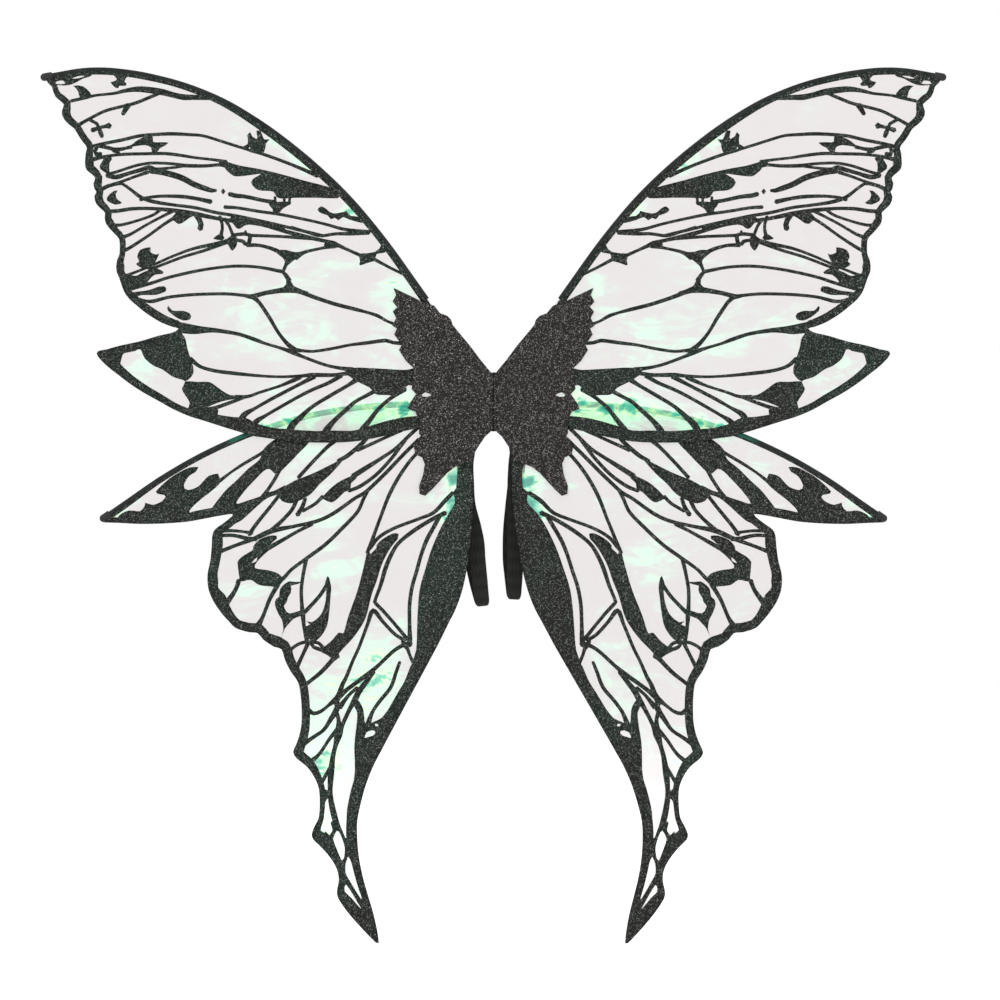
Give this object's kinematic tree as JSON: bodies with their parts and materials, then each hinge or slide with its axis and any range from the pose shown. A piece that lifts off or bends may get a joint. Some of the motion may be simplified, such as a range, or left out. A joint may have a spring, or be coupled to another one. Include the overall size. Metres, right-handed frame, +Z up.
{
  "type": "costume butterfly wings",
  "caption": "Wearable butterfly-shaped costume wings: iridescent film panels on wire frames with glitter borders, a folding spine, a back pad and elastic arm loops.",
  "frame": {"origin": "middle of the back pad's face that rests on the wearer's back, level with the middle of the fold", "axes": "+Z up, +X to the right seen from behind the wearer, +Y towards the wearer's back, -Y the decorated outer face"},
  "size_m": [0.8402, 0.0829, 0.8178],
  "materials": {
    "patch_glitter": "glitter foam",
    "board": "matte",
    "felt": "felt",
    "clip_plastic": "smooth",
    "film": "iridescent film",
    "border_glitter": "glitter print",
    "spring_wire": "drawn wire",
    "sleeve": "smooth film hem",
    "cap": "matte",
    "foam": "closed-cell foam",
    "tape": "woven tape",
    "elastic": "ribbed elastic",
    "thread": "thread"
  },
  "bodies": {
    "back": {"pad_cover": "felt", "pad_foam": "foam", "spine_tape": "tape", "left_strap_tabs": "elastic", "right_strap_tabs": "elastic", "left_strap_thread": "thread", "right_strap_thread": "thread"},
    "left_wing": {"left_patch": "patch_glitter", "left_root_board": "board", "left_lining": "felt", "left_wire_clips": "clip_plastic", "left_upper_film": "film", "left_upper_border": "border_glitter", "left_upper_wire": "spring_wire", "left_upper_sleeve": "sleeve", "left_upper_tip_cap": "cap", "left_lower_film": "film", "left_lower_border": "border_glitter", "left_lower_wire": "spring_wire", "left_lower_sleeve": "sleeve", "left_lower_tip_cap": "cap"},
    "right_wing": {"right_patch": "patch_glitter", "right_root_board": "board", "right_lining": "felt", "right_wire_clips": "clip_plastic", "right_upper_film": "film", "right_upper_border": "border_glitter", "right_upper_wire": "spring_wire", "right_upper_sleeve": "sleeve", "right_upper_tip_cap": "cap", "right_lower_film": "film", "right_lower_border": "border_glitter", "right_lower_wire": "spring_wire", "right_lower_sleeve": "sleeve", "right_lower_tip_cap": "cap"},
    "left_strap": {"left_strap_loop": "elastic"},
    "right_strap": {"right_strap_loop": "elastic"}
  },
  "joints": [
    {"name": "left_wing_fold", "type": "hinge", "parent": "back", "child": "left_wing", "pos_m": [-0.0025, -0.0146, 0], "axis": [0, 0, 1], "range_deg": [-6, 79]},
    {"name": "right_wing_fold", "type": "hinge", "parent": "back", "child": "right_wing", "pos_m": [0.0025, -0.0146, 0], "axis": [0, 0, -1], "range_deg": [-6, 79]},
    {"name": "left_strap_swing", "type": "hinge", "parent": "back", "child": "left_strap", "pos_m": [-0.03, 0.0006, 0], "axis": [-0.1045, 0, 0.9945], "range_deg": [-10, 45]},
    {"name": "right_strap_swing", "type": "hinge", "parent": "back", "child": "right_strap", "pos_m": [0.03, 0.0006, 0], "axis": [0.0523, 0, 0.9986], "range_deg": [-45, 10]}
  ]
}
